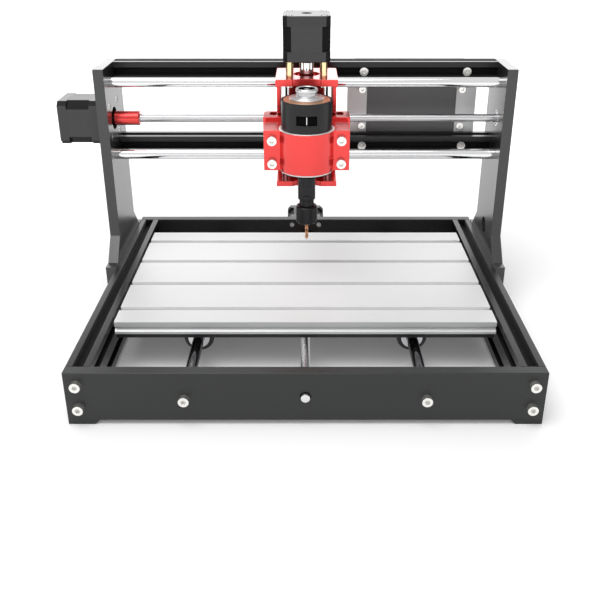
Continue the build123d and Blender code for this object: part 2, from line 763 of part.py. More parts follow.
bracket = block((-bracket_half, bracket_half), bracket_y, (bracket_bottom, support_bottom))
bracket += block((-nut_block_half, nut_block_half), bracket_y, (y_screw_z - nut_block_half, support_bottom))
bracket -= bar("Y", nut_radius + fixed_gap, bracket_y, (0, y_screw_z))
bracket = cut(bracket, [bar("Z", M4[0] + thread_gap, (bracket_bottom, support_bottom), p)
                        for p in bracket_screws_xy])
parts["y_nut_bracket"] = bracket
parts["y_nut"] = flange_nut("Y", bracket_y[0], -1, (0, y_screw_z))

wing_bottom = support_bottom - holder_wing_height
bed_screws = [socket_screw(M4, 13, "+Z", (x, y, wing_bottom - M4[2])) for x, y in holder_screws]
bed_screws += [socket_screw(M4, 13, "+Z", (x, y, bracket_bottom - M4[2])) for x, y in bracket_screws_xy]
bed_screws += [socket_screw(M4, 6, "+Z", (x, y, support_bottom - M4[2])) for x, y in bed_screws_xy]
parts["bed_screws"] = together(bed_screws)

# ---------------------------------------------------------------------------
# carriage
# ---------------------------------------------------------------------------
cx = carriage_x
carriage_half = carriage_width / 2
carriage_sides = (cx - carriage_half, cx + carriage_half)
top_plate_z = (carriage_top - top_plate_thickness, carriage_top)
bottom_plate_z = (carriage_bottom, carriage_bottom + bottom_plate_thickness)
rods_xy = [(cx + s * z_rod_x, z_rod_y) for s in (-1, 1)]
motor_xy = square(motor_hole_pitch, (cx, z_motor_y))
web_front_y = carriage_back_y - channel_web
recess_radius = sleeve_radius + recess_gap
web_screws_xy = [(cx + s * web_screw_x, carriage_back_y - web_screw_inset) for s in (-1, 1)]


def carriage_plate(z):
    """The outline that the top and bottom plates share, hollowed out in front for the spindle."""
    plate = block(carriage_sides, (carriage_front_y, carriage_back_y), z)
    plate -= bar("Z", recess_radius, z, (cx, spindle_y))
    return chamfer(plate.edges().filter_by(Axis.Z).sort_by(Axis.Y)[-2:], 1)


top_plate = carriage_plate(top_plate_z) - bar("Z", z_hole_radius, top_plate_z, (cx, z_motor_y))
top_plate = cut(top_plate, [bar("Z", M3[0] + thread_gap, top_plate_z, p) for p in motor_xy])
z_rod_seat = (top_plate_z[0], carriage_top - z_rod_cover)
top_plate = cut(top_plate, [bar("Z", z_rod_radius + fixed_gap, z_rod_seat, p) for p in rods_xy])
top_plate = cut(top_plate, [screw_hole(M4, 8, "-Z", (x, y, carriage_top)) for x, y in web_screws_xy])
parts["carriage_top_plate"] = top_plate

bottom_plate = carriage_plate(bottom_plate_z)
bottom_plate -= bar("Z", bearing_radius + fixed_gap, bottom_plate_z, (cx, z_motor_y))
bottom_plate = cut(bottom_plate, [bar("Z", M4[0] + thread_gap, bottom_plate_z, p)
                                  for p in rods_xy + web_screws_xy])
parts["carriage_bottom_plate"] = bottom_plate

channel_z = (bottom_plate_z[1], top_plate_z[0])
channel = block(carriage_sides, (web_front_y, carriage_back_y), channel_z)
for s in (-1, 1):
    arm = sorted((cx + s * carriage_half, cx + s * (carriage_half - arm_thickness)))
    channel += block(arm, (channel_front_y, web_front_y), channel_z)
for z in x_rod_z:
    saddle = (z - x_housing_radius, min(z + x_housing_radius, channel_z[1]))
    channel += block(carriage_sides, (carriage_back_y, x_rod_y), saddle)
    ring = bar("X", x_housing_radius, carriage_sides, (x_rod_y, z))
    behind = (carriage_back_y, x_rod_y + x_housing_radius + 1)
    channel += ring & block(carriage_sides, behind, channel_z)
    channel -= bar("X", linear_bearing_radius + fixed_gap, carriage_sides, (x_rod_y, z))
nut_block_x = (cx - x_nut_block_half, cx + x_nut_block_half)
channel += block(nut_block_x, (carriage_back_y, x_screw_y + nut_block_half),
                 (x_screw_z - nut_block_half, x_screw_z + nut_block_half))
channel -= bar("X", nut_radius + fixed_gap, nut_block_x, (x_screw_y, x_screw_z))
channel -= bar("X", screw_radius + screw_slot_gap, carriage_sides, (x_screw_y, x_screw_z))
for x, y in web_screws_xy:
    channel -= bar("Z", M4[0] + thread_gap, (channel_z[1] - tapped_depth, channel_z[1]), (x, y))
    channel -= bar("Z", M4[0] + thread_gap, (channel_z[0], channel_z[0] + tapped_depth), (x, y))
parts["carriage_channel"] = channel

bearing_ends = (carriage_sides[0] + x_bearing_inset, carriage_sides[1] - x_bearing_inset)
x_bearing_spans = [(bearing_ends[0], bearing_ends[0] + x_bearing_length),
                   (bearing_ends[1] - x_bearing_length, bearing_ends[1])]
parts["x_bearings"] = together([
    linear_bearing("X", linear_bearing_radius, rod_radius, span, (x_rod_y, z))
    for z in x_rod_z for span in x_bearing_spans])
parts["x_nut"] = flange_nut("X", nut_block_x[0], -1, (x_screw_y, x_screw_z))

z_rod_span = (bottom_plate_z[1], z_rod_seat[1])
z_rods = [bar("Z", z_rod_radius, z_rod_span, p) for p in rods_xy]
z_rods = [rod - bar("Z", M4[0] + thread_gap, (z_rod_span[0], z_rod_span[0] + tapped_depth + 1), p)
          for rod, p in zip(z_rods, rods_xy)]
parts["z_rods"] = together(z_rods)

carriage_screws = [socket_screw(M4, 14, "+Z", (x, y, carriage_bottom - M4[2]))
                   for x, y in rods_xy + web_screws_xy]
carriage_screws += [sunk_screw(M4, 11, "-Z", (x, y, carriage_top)) for x, y in web_screws_xy]
carriage_screws += [socket_screw(M3, 24, "+Z", (x, y, top_plate_z[0] - M3[2]))
                    for x, y in motor_xy]
parts["carriage_screws"] = together(carriage_screws)
standoff_z = (carriage_top, z_motor_face)
across_flats = 2 * standoff_radius * cos(radians(30))
parts["z_standoffs"] = together([
    hexagon("Z", across_flats, standoff_z, p) - bar("Z", M3[0] + thread_gap, standoff_z, p)
    for p in motor_xy])

# ---------------------------------------------------------------------------
# Z slide and spindle mount
# ---------------------------------------------------------------------------
slide_sides = (cx - slide_width / 2, cx + slide_width / 2)
slide_z = (slide_bottom, slide_top)
mount_z = (slide_bottom, mount_top)
mount_points = [(cx + s * mount_screw_x, z) for s in (-1, 1) for z in mount_screw_z]
nut_boss = nut_flange_radius + 1

slide = block(slide_sides, (slide_front_y, slide_back_y), slide_z)
slide = chamfer(slide.edges().filter_by(Axis.Z).sort_by(Axis.Y)[-2:], 3)
slide += block((cx - nut_boss, cx + nut_boss), (slide_back_y, z_motor_y + nut_boss), slide_z)
slide -= bar("Z", nut_radius + fixed_gap, slide_z, (cx, z_motor_y))
slide = cut(slide, [bar("Z", z_bearing_radius + fixed_gap, slide_z, p) for p in rods_xy])
for s in (-1, 1):
    pocket = Rot(0, 0, 90) * extrude(SlotOverall(*slide_pocket_size), slide_pocket_depth)
    slide -= Pos(cx + s * slide_pocket_x, slide_pocket_y, slide_top - slide_pocket_depth) * pocket
slide = cut(slide, [bar("Y", M5[0] + thread_gap, (slide_front_y, slide_front_y + tapped_depth), p)
                    for p in mount_points])
parts["z_slide"] = slide

slide_middle = (slide_bottom + slide_top) / 2
z_bearing_z = (slide_middle - z_bearing_length / 2, slide_middle + z_bearing_length / 2)
parts["z_bearings"] = together([
    linear_bearing("Z", z_bearing_radius, z_rod_radius, z_bearing_z, p) for p in rods_xy])
parts["z_nut"] = flange_nut("Z", slide_top, 1, (cx, z_motor_y))

mount = block((cx - mount_width / 2, cx + mount_width / 2), (mount_front_y, slide_front_y), mount_z)
mount += bar("Z", sleeve_radius + clamp_wall, mount_z, (cx, spindle_y))
mount -= bar("Z", sleeve_radius + fixed_gap, mount_z, (cx, spindle_y))
slit_y = spindle_y + clamp_slit_back
mount -= block((cx, cx + mount_width), (slit_y, slit_y + clamp_slit), mount_z)
mount = cut(mount, [bar("Y", M5[0] + thread_gap, (mount_front_y, slide_front_y), p) for p in mount_points])
parts["spindle_mount"] = mount
parts["mount_screws"] = together([
    socket_screw(M5, 46, "+Y", (x, mount_front_y - M5[2], z)) for x, z in mount_points])

# ---------------------------------------------------------------------------
# spindle motor, chuck and cutter
# ---------------------------------------------------------------------------
axis_xy = (cx, spindle_y)
sleeve_inner = sleeve_radius - sleeve_wall
can_radius = sleeve_inner - fixed_gap
can_inner = can_radius - can_wall
can_top = sleeve_top - 2
cap_bottom = can_top - end_cap_depth
disc_top = sleeve_top + end_disc_height
boss_top = disc_top + end_boss_height

sleeve = tube("Z", sleeve_radius, sleeve_inner, (sleeve_bottom, sleeve_top), axis_xy)
window_x = (cx - sleeve_window_half, cx + sleeve_window_half)
sleeve -= block(window_x, (spindle_y - sleeve_radius - 1, spindle_y), sleeve_window_z)
parts["spindle_sleeve"] = sleeve

can = bar("Z", can_radius, (can_bottom, can_top), axis_xy)
can -= bar("Z", can_inner, (can_bottom + 2.5, can_top), axis_xy)
can += bar("Z", 8.7, (can_bottom + 2.5, can_bottom + 7), axis_xy)
can -= bar("Z", shaft_radius + running_gap, (can_bottom, can_bottom + 7), axis_xy)
parts["spindle_can"] = can

cap = bar("Z", can_inner - fixed_gap, (cap_bottom, can_top), axis_xy)
cap += bar("Z", sleeve_inner - end_cap_gap, (can_top, sleeve_top), axis_xy)
parts["spindle_end_cap"] = cap - bar("Z", end_boss_radius + fixed_gap, (cap_bottom, sleeve_top), axis_xy)

boss = bar("Z", end_boss_radius, (cap_bottom, boss_top), axis_xy)
boss = chamfer(boss.edges().sort_by(Axis.Z)[-1:], 1)
boss += bar("Z", end_disc_radius, (sleeve_top, disc_top), axis_xy)
boss -= bar("Z", shaft_radius + running_gap, (cap_bottom, boss_top), axis_xy)
parts["spindle_rear_boss"] = boss - bar("Z", end_boss_radius - 2.5, (boss_top - 2.5, boss_top), axis_xy)

armature = bar("Z", shaft_radius, (chuck_bottom + 10, boss_top - 1), axis_xy)
armature += bar("Z", armature_radius, (can_bottom + 14, can_bottom + 42), axis_xy)
armature += bar("Z", 5, (can_bottom + 44, can_bottom + 54), axis_xy)
parts["spindle_armature"] = armature

chuck = bar("Z", chuck_radius, (chuck_bottom, can_bottom - 0.5), axis_xy)
chuck = chamfer(chuck.edges(), 0.8)
chuck += bar("Z", chuck_neck_radius, (nut_top - 12, chuck_bottom), axis_xy)
for s in (-1, 1):
    flat_y = sorted((spindle_y + s * (chuck_radius - 1.2), spindle_y + s * (chuck_radius + 1)))
    chuck -= block((cx - chuck_radius, cx + chuck_radius), flat_y, (chuck_bottom + 5, chuck_bottom + 14))
chuck -= bar("Z", shaft_radius + fixed_gap, (chuck_bottom + 9, can_bottom), axis_xy)
collet_low = nut_bottom + 2
collet_high = collet_low + collet_depth
collet_place = Pos(cx, spindle_y, collet_low + collet_depth / 2)
chuck -= collet_place * Cone(*[r + collet_gap for r in collet_radii], collet_depth)
chuck -= bar("Z", tool_radius + 0.4, (collet_high, chuck_bottom + 9), axis_xy)
parts["collet_chuck"] = chuck

tool_hole = tool_radius + fixed_gap
collet = collet_place * Cone(*collet_radii, collet_depth)
collet -= bar("Z", tool_hole, (collet_low, collet_high), axis_xy)
slit_y = (spindle_y - collet_slit / 2, spindle_y + collet_slit / 2)
parts["collet"] = collet - block((cx - 6, cx + 6), slit_y, (collet_low, collet_high - 4))

nut = bar("Z", collet_nut_radius, (nut_bottom, nut_top), axis_xy)
nut = chamfer(nut.edges(), 1)
nut_groove_circle = collet_nut_radius + 0.6
for i in range(6):
    angle = radians(60 * i)
    groove = (cx + nut_groove_circle * cos(angle), spindle_y + nut_groove_circle * sin(angle))
    nut -= bar("Z", nut_groove_radius, (nut_bottom, nut_top - 4), groove)
nut -= bar("Z", chuck_neck_radius + fixed_gap, (collet_low, nut_top), axis_xy)
parts["collet_nut"] = nut - bar("Z", 3.5, (nut_bottom, collet_low), axis_xy)

tool = bar("Z", tool_radius, (tool_tip + 2, chuck_bottom + 2), axis_xy)
tool += Pos(cx, spindle_y, tool_tip + 1) * Cone(0.3, tool_radius, 2)
parts["end_mill"] = tool

# ---------------------------------------------------------------------------
# control box
# ---------------------------------------------------------------------------
beam_back_y = beam_front_y + beam_size
strip_y = (beam_back_y, beam_back_y + strip_thickness)
box_front_y = strip_y[1]
box_back_y = box_front_y + box_depth
strip_z = (lower_beam_z - 8, top_beam_z + 8)
box_screw_z = (171, 209)
box_screws_xz = [(x, z) for x in beam_screw_x for z in box_screw_z]
beam_screws_xz = [(x, z) for x in beam_screw_x for z in (lower_beam_z, top_beam_z)]
inner_box_x = (box_left_x + box_wall, box_right_x - box_wall)
inner_box_z = (box_bottom + box_wall, box_top - box_wall)
box_middle_y = (box_front_y + box_back_y) / 2

strips = []
for centre, x in zip(strip_centres_x, beam_screw_x):
    strip = block((centre - strip_width / 2, centre + strip_width / 2), strip_y, strip_z)
    strip = cut(strip, [bar("Y", M4[0] + thread_gap, strip_y, (x, z)) for z in box_screw_z])
    strips.append(cut(strip, [bar("Y", M5[0] + thread_gap, strip_y, (x, z))
                              for z in (lower_beam_z, top_beam_z)]))
parts["box_strips"] = together(strips)


# Square posts in the four corners of the box take the cover's screws.
half_post = box_post / 2
cover_screws_xz = [(x, z) for x in (inner_box_x[0] + half_post, inner_box_x[1] - half_post)
                   for z in (inner_box_z[0] + half_post, inner_box_z[1] - half_post)]
rocker_axis = (box_right_x - 4, rocker_z)
lug_reach = (rocker_width / 2 + window_gap, rocker_width / 2 + window_gap + lug_thickness)

housing = block((box_left_x, box_right_x), (box_front_y, box_back_y), (box_bottom, box_top))
housing -= block(inner_box_x, (box_front_y + box_wall, box_back_y), inner_box_z)
for x, z in cover_screws_xz:
    housing += block((x - half_post, x + half_post), (box_front_y + box_wall, box_back_y),
                     (z - half_post, z + half_post))
    housing -= bar("Y", M3[0] + thread_gap, (box_back_y - 10, box_back_y), (x, z))
for x, z in box_screws_xz:
    housing += bar("Y", half_post, (box_front_y + box_wall, box_front_y + board_stand_off), (x, z))
    housing -= bar("Y", M4[0] + thread_gap, (box_front_y, box_front_y + board_stand_off), (x, z))
for s in (-1, 1):
    lug_y = sorted((box_middle_y + s * lug_reach[0], box_middle_y + s * lug_reach[1]))
    housing += block((rocker_axis[0] - 2.5, inner_box_x[1]), lug_y, (rocker_z - 3, rocker_z + 3))
    housing -= bar("Y", pivot_radius + running_gap, lug_y, rocker_axis)
wall_x = (inner_box_x[1], box_right_x)
half_window = rocker_width / 2 + window_gap
window_reach = rocker_radius + window_gap
housing -= block(wall_x, (box_middle_y - half_window, box_middle_y + half_window),
                 (rocker_z - window_reach, rocker_z + window_reach))
board_y = (box_front_y + board_stand_off, box_front_y + board_stand_off + board_thickness)
socket_y = (board_y[1], board_y[1] + socket_size[0])
half_socket = socket_size[1] / 2
for z in socket_z:
    housing -= block(wall_x, (socket_y[0] - window_gap, socket_y[1] + window_gap),
                     (z - half_socket - window_gap, z + half_socket + window_gap))
parts["control_box"] = housing

cover = block((box_left_x, box_right_x), (box_back_y, box_back_y + box_wall), (box_bottom, box_top))
cover = chamfer(cover.edges().filter_by(Axis.Y), 2)
cover = cut(cover, [bar("Y", M3[0] + thread_gap, (box_back_y, box_back_y + box_wall), p)
                    for p in cover_screws_xz])
vent_x = (inner_box_x[0] + vent_inset, inner_box_x[1] - vent_inset)
for i in range(vent_count):
    z = box_bottom + vent_bottom + i * vent_pitch
    cover -= block(vent_x, (box_back_y, box_back_y + box_wall), (z, z + vent_height))
parts["box_cover"] = cover

board_z = (inner_box_z[0] + box_post + 1, inner_box_z[1] - box_post - 1)
board = block((inner_box_x[0] + 2, rocker_axis[0] - 4), board_y, board_z)
board = cut(board, [bar("Y", M4[0] + thread_gap, board_y, p) for p in box_screws_xz])
socket_x = (rocker_axis[0] - 12, inner_box_x[1] - window_gap)
recess_x = (socket_x[0] + 3, socket_x[1])
socket_middle_y = (socket_y[0] + socket_y[1]) / 2
power_z, data_z = socket_z
power_socket = block(socket_x, socket_y, (power_z - half_socket, power_z + half_socket))
power_socket -= tube("X", 2.9, 1.05, recess_x, (socket_middle_y, power_z))
data_socket = block(socket_x, socket_y, (data_z - half_socket, data_z + half_socket))
data_socket -= block(recess_x, (socket_middle_y - 3.9, socket_middle_y + 3.9), (data_z - 4.2, data_z + 4.2))
data_socket += block((recess_x[0], recess_x[1] - 1), (socket_middle_y - 1.6, socket_middle_y + 1.6),
                     (data_z - 2.8, data_z + 2.8))
parts["circuit_board"] = together([board, power_socket, data_socket])

rocker = make_face(Polyline((2.5, -6.3), (-2.8, -6.3), (-4.6, 0), (-2.8, 6.3), (2.5, 6.3), (2.5, -6.3)))
rocker = along("Y", rocker, (-rocker_width / 2, rocker_width / 2))
pivot_reach = lug_reach[1] - window_gap
rocker += bar("Y", pivot_radius, (-pivot_reach, pivot_reach), (0, 0))
rocker_place = Pos(rocker_axis[0], box_middle_y, rocker_axis[1])
parts["power_rocker"] = rocker_place * Rot(0, rocker_tilt, 0) * rocker

small_screws += [socket_screw(M4, 12, "+Y", (x, strip_y[0] - M4[2], z)) for x, z in box_screws_xz]
small_screws += [socket_screw(M5, 16.3, "+Y", (x, beam_front_y + slot_depth - M5[2], z))
                 for x, z in beam_screws_xz]
small_screws += [socket_screw(M3, 10, "-Y", (x, box_back_y + box_wall + M3[2], z))
                 for x, z in cover_screws_xz]
parts["small_screws"] = together(small_screws)

# ---------------------------------------------------------------------------
# move to the origin and write one file for each part
# ---------------------------------------------------------------------------
to_origin = Location((motor_length / 2, -(base_length + motor_length - M5[2]) / 2, 0))
os.makedirs("parts", exist_ok=True)
for name, shape in parts.items():
    export_step(shape.moved(to_origin), f"parts/{name}.step")
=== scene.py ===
import bpy
import bmesh
import json
import math
from mathutils import Matrix, Vector


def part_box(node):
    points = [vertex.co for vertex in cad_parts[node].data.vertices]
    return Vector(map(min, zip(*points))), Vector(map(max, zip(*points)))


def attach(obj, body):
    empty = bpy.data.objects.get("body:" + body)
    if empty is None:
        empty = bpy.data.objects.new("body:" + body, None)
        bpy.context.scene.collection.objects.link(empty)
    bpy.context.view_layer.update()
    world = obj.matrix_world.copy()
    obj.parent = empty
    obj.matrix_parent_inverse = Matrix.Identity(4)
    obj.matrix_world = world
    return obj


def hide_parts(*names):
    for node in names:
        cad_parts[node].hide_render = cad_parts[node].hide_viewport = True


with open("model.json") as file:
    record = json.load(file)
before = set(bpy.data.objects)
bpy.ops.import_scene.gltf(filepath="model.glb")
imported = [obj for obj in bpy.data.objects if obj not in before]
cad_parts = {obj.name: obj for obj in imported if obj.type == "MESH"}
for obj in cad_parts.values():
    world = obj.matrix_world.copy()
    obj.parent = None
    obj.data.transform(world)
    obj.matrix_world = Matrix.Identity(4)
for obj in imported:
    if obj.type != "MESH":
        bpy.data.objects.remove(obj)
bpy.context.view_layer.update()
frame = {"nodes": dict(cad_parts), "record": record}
record = frame["record"]
body_of = {node: body for body, nodes in record["behaviour"]["bodies"].items() for node in nodes}
slot_of = {entry["node"]: entry["material_slot"] for entry in record["subparts"]}
MM = 0.001


# ---------------------------------------------------------------------------
# materials
# ---------------------------------------------------------------------------
def surface(name, colour, metallic, rough, *, spread=0.04, tone=0.12, grain=0.0, grain_scale=900.0,
            stretch=(1, 1, 1), edge=None, edge_width=0.35, coat=0.0, coat_rough=0.2, mottle=9.0,
            specular=0.5):
    """A finish with tone variation, grain, uneven roughness and edges lighter in patches, part wear and
    part painted highlight.
    """
    material = bpy.data.materials.new(name)
    material.use_nodes = True
    tree = material.node_tree
    nodes, link = tree.nodes, tree.links.new
    shader = nodes["Principled BSDF"]
    shader.inputs["Metallic"].default_value = metallic
    shader.inputs["Coat Weight"].default_value = coat
    shader.inputs["Specular IOR Level"].default_value = specular
    shader.inputs["Coat Roughness"].default_value = coat_rough
    coords = nodes.new("ShaderNodeTexCoord")

    cloud = nodes.new("ShaderNodeTexNoise")
    cloud.inputs["Scale"].default_value = mottle
    cloud.inputs["Detail"].default_value = 6
    link(coords.outputs["Object"], cloud.inputs["Vector"])

    squeeze = nodes.new("ShaderNodeMapping")
    squeeze.inputs["Scale"].default_value = stretch
    link(coords.outputs["Object"], squeeze.inputs["Vector"])
    fine = nodes.new("ShaderNodeTexNoise")
    fine.inputs["Scale"].default_value = grain_scale
    fine.inputs["Detail"].default_value = 3
    link(squeeze.outputs["Vector"], fine.inputs["Vector"])

    tint = nodes.new("ShaderNodeMix")
    tint.data_type = "RGBA"
    tint.inputs["A"].default_value = (*[c * (1 - tone) for c in colour], 1)
    tint.inputs["B"].default_value = (*[min(1, c * (1 + tone)) for c in colour], 1)
    link(cloud.outputs["Fac"], tint.inputs["Factor"])
    colour_out = tint.outputs["Result"]

    blend = nodes.new("ShaderNodeMath")
    blend.operation = "ADD"
    link(cloud.outputs["Fac"], blend.inputs[0])
    link(fine.outputs["Fac"], blend.inputs[1])
    gloss = nodes.new("ShaderNodeMapRange")
    gloss.inputs["From Min"].default_value = 0.6
    gloss.inputs["From Max"].default_value = 1.4
    gloss.inputs["To Min"].default_value = max(0.03, rough - spread)
    gloss.inputs["To Max"].default_value = rough + spread
    link(blend.outputs["Value"], gloss.inputs["Value"])
    link(gloss.outputs["Result"], shader.inputs["Roughness"])

    rounded = nodes.new("ShaderNodeBevel")
    rounded.samples = 4
    rounded.inputs["Radius"].default_value = edge_width * MM
    bump = nodes.new("ShaderNodeBump")
    bump.inputs["Strength"].default_value = min(1, grain)
    bump.inputs["Distance"].default_value = 0.02 * MM
    link(fine.outputs["Fac"], bump.inputs["Height"])
    link(rounded.outputs["Normal"], bump.inputs["Normal"])
    link(bump.outputs["Normal"], shader.inputs["Normal"])

    # Edges painted lighter in patches along the bevel: part wear, part painted highlight.
    if edge:
        geometry = nodes.new("ShaderNodeNewGeometry")
        agree = nodes.new("ShaderNodeVectorMath")
        agree.operation = "DOT_PRODUCT"
        link(rounded.outputs["Normal"], agree.inputs[0])
        link(geometry.outputs["Normal"], agree.inputs[1])
        edge_wear_and_highlight = nodes.new("ShaderNodeMapRange")
        edge_wear_and_highlight.inputs["From Min"].default_value = 0.995
        edge_wear_and_highlight.inputs["From Max"].default_value = 0.86
        edge_wear_and_highlight.inputs["To Max"].default_value = 0.85
        link(agree.outputs["Value"], edge_wear_and_highlight.inputs["Value"])
        patchy = nodes.new("ShaderNodeMath")
        patchy.operation = "MULTIPLY"
        link(edge_wear_and_highlight.outputs["Result"], patchy.inputs[0])
        link(cloud.outputs["Fac"], patchy.inputs[1])
        rim = nodes.new("ShaderNodeMix")
        rim.data_type = "RGBA"
        rim.inputs["B"].default_value = (*edge, 1)
        link(patchy.outputs["Value"], rim.inputs["Factor"])
        link(colour_out, rim.inputs["A"])
        colour_out = rim.outputs["Result"]
    link(colour_out, shader.inputs["Base Color"])
    return material


finishes = {
    "black_plate": surface("powder_coat", (0.015, 0.016, 0.016), 0.0, 0.4, grain=0.5, grain_scale=1500,
                           edge=(0.10, 0.10, 0.10), edge_width=0.6, coat=0.15, coat_rough=0.3,
                           specular=0.4),
    "black_extrusion": surface("black_anodised", (0.007, 0.007, 0.008), 0.2, 0.33, grain=0.25,
                               edge=(0.16, 0.16, 0.16), edge_width=0.4, coat=0.15, coat_rough=0.25,
                               specular=0.4),
    "red_anodised": surface("red_anodised", (0.74, 0.050, 0.046), 0.88, 0.24, grain=0.4, grain_scale=1300,
                            edge=(0.9, 0.3, 0.3), edge_width=0.45, coat=0.5, coat_rough=0.2),
    "silver_aluminium": surface("clear_anodised", (0.76, 0.765, 0.77), 0.35, 0.42, grain=0.3, tone=0.04,
                                grain_scale=500, stretch=(0.03, 1, 1), edge=(0.95, 0.95, 0.95),
                                edge_width=0.4),
    "polished_rod": surface("hard_chrome", (0.80, 0.80, 0.81), 1.0, 0.09, spread=0.03, tone=0.03,
                            grain=0.05, grain_scale=700, edge=(0.9, 0.9, 0.9)),
    "bearing_steel": surface("bearing_steel", (0.62, 0.62, 0.64), 1.0, 0.18, tone=0.06, grain=0.1,
                             edge=(0.9, 0.9, 0.9)),
    "screw_steel": surface("zinc_plated_screw", (0.86, 0.85, 0.82), 0.9, 0.25, tone=0.06, grain=0.2,
                           edge=(0.97, 0.97, 0.95), edge_width=0.25),
    "lead_screw_steel": surface("rolled_thread", (0.74, 0.74, 0.75), 1.0, 0.2, tone=0.06, grain=0.15,
                                edge=(0.95, 0.95, 0.95), edge_width=0.15),
    "motor_black": surface("motor_paint", (0.026, 0.025, 0.026), 0.0, 0.36, grain=0.35, grain_scale=1200,
                           edge=(0.12, 0.12, 0.12), edge_width=0.4, coat=0.2, coat_rough=0.25,
                           specular=0.4),
    "brass": surface("turned_brass", (0.93, 0.74, 0.42), 0.9, 0.2, tone=0.08, grain=0.15,
                     edge=(0.98, 0.86, 0.6), edge_width=0.3),
    "motor_can_steel": surface("can_steel", (0.72, 0.72, 0.73), 1.0, 0.25, tone=0.05, grain=0.2,
                               edge=(0.92, 0.92, 0.92)),
    "copper_tone": surface("copper_plate", (0.80, 0.46, 0.28), 0.8, 0.32, tone=0.1, grain=0.2,
                           edge=(0.95, 0.75, 0.6)),
    "blackened_steel": surface("black_oxide", (0.018, 0.018, 0.02), 0.6, 0.3, tone=0.2, grain=0.25,
                               edge=(0.25, 0.25, 0.26), edge_width=0.3),
    "collet_steel": surface("spring_steel", (0.6, 0.6, 0.61), 1.0, 0.22, grain=0.1, edge=(0.9, 0.9, 0.9)),
    "coated_carbide": surface("coated_carbide", (0.72, 0.36, 0.20), 1.0, 0.2, tone=0.15, grain=0.1,
                              edge=(0.95, 0.7, 0.5), edge_width=0.1),
    "box_grey": surface("box_paint", (0.15, 0.15, 0.152), 0.0, 0.45, grain=0.5, grain_scale=1600,
                        edge=(0.3, 0.3, 0.3), edge_width=0.5),
    "board_green": surface("solder_mask", (0.02, 0.16, 0.06), 0.0, 0.35, tone=0.2, grain=0.2, coat=0.4),
    "rocker_black": surface("moulded_rocker", (0.02, 0.02, 0.022), 0.0, 0.3, grain=0.3,
                            edge=(0.1, 0.1, 0.1)),
}
strip_metal = surface("strip_metal", (0.88, 0.885, 0.89), 0.1, 0.5, tone=0.03, grain=0.3, grain_scale=500,
                      stretch=(1, 1, 0.03), edge=(0.97, 0.97, 0.97))
polished = surface("polished_aluminium", (0.66, 0.66, 0.67), 0.75, 0.34, tone=0.05, grain=0.3,
                   grain_scale=900, edge=(0.85, 0.85, 0.85))
sleeve_black = surface("sleeve_black", (0.008, 0.008, 0.009), 0.0, 0.34, tone=0.2, grain=0.2,
                       grain_scale=1200, edge=(0.06, 0.06, 0.06), specular=0.35)
# Pale for the clamp ring's turned rims: painted highlight.
rim_painted_highlight = surface("rim_painted_highlight", (0.88, 0.84, 0.84), 0.5, 0.35, tone=0.04, grain=0.2)
# Lighter grey for the motors' outer end face: painted glare.
cap_glare_paint = surface("cap_painted_glare", (0.42, 0.42, 0.43), 0.3, 0.5, tone=0.06, grain=0.6, grain_scale=900,
                    edge=(0.85, 0.85, 0.85))
# Near-black with no shine for holes, recesses and hidden insides: painted shade.
deep_shadow_paint = surface("deep_shadow", (0.006, 0.006, 0.006), 0.0, 0.9, grain=0.2, specular=0.0)
# Near-black for the motors' cut corners: painted shade.
motor_corner_shade = surface("motor_corner_shade", (0.006, 0.006, 0.006), 0.0, 0.5, grain=0.3, grain_scale=1200,
                       specular=0.15)
# Near-black for the faces deep in the extrusions' slots: painted shade.
slot_painted_shade = surface("slot_painted_shade", (0.004, 0.004, 0.0045), 0.0, 0.6, grain=0.25, specular=0.2)
# Near-white for the faces deep in the bed's T-slots: painted light that lifts their shade.
slot_painted_light = surface("slot_painted_light", (0.93, 0.93, 0.935), 0.1, 0.5, tone=0.03, grain=0.3, grain_scale=500,
                     stretch=(0.03, 1, 1))
upright_paint = surface("upright_paint", (0.015, 0.016, 0.016), 0.0, 0.34, grain=0.4, grain_scale=1500,
                        edge=(0.10, 0.10, 0.10), edge_width=0.6, coat=0.6, coat_rough=0.22)
# Darkened chrome for the Y rods: their dark reflections painted into the colour.
chrome_painted_dark = surface("chrome_painted_dark", (0.20, 0.20, 0.21), 1.0, 0.12, spread=0.03, tone=0.05, grain=0.05,
                      grain_scale=700, edge=(0.4, 0.4, 0.4))

for node, thing in frame["nodes"].items():
    thing.data.materials.clear()
    thing.data.materials.append(finishes[slot_of[node]])


# ---------------------------------------------------------------------------
# pieces
# ---------------------------------------------------------------------------
def shade(mesh, angle=32):
    """Smooth faces, with sharp edges where two faces meet at more than angle."""
    limit = math.radians(angle)
    bm = bmesh.new()
    bm.from_mesh(mesh)
    for face in bm.faces:
        face.smooth = True
    for e in bm.edges:
        e.smooth = e.is_manifold and e.calc_face_angle(0) < limit
    bm.to_mesh(mesh)
    bm.free()


def piece(name, bm, node, materials, place=None, replaces=True):
    """A finished piece that rides on a CAD node's body and usually stands for that node."""
    if place is not None:
        bmesh.ops.transform(bm, matrix=place, verts=bm.verts)
    bmesh.ops.recalc_face_normals(bm, faces=bm.faces)
    mesh = bpy.data.meshes.new(name)
    bm.to_mesh(mesh)
    bm.free()
    shade(mesh)
    for material in materials:
        mesh.materials.append(material)
    thing = bpy.data.objects.new(name, mesh)
    bpy.context.scene.collection.objects.link(thing)
    even = thing.modifiers.new("even_normals", "WEIGHTED_NORMAL")
    even.weight = 80
    even.keep_sharp = True
    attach(thing, body_of[node])
    if replaces:
        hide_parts(node)
    return thing


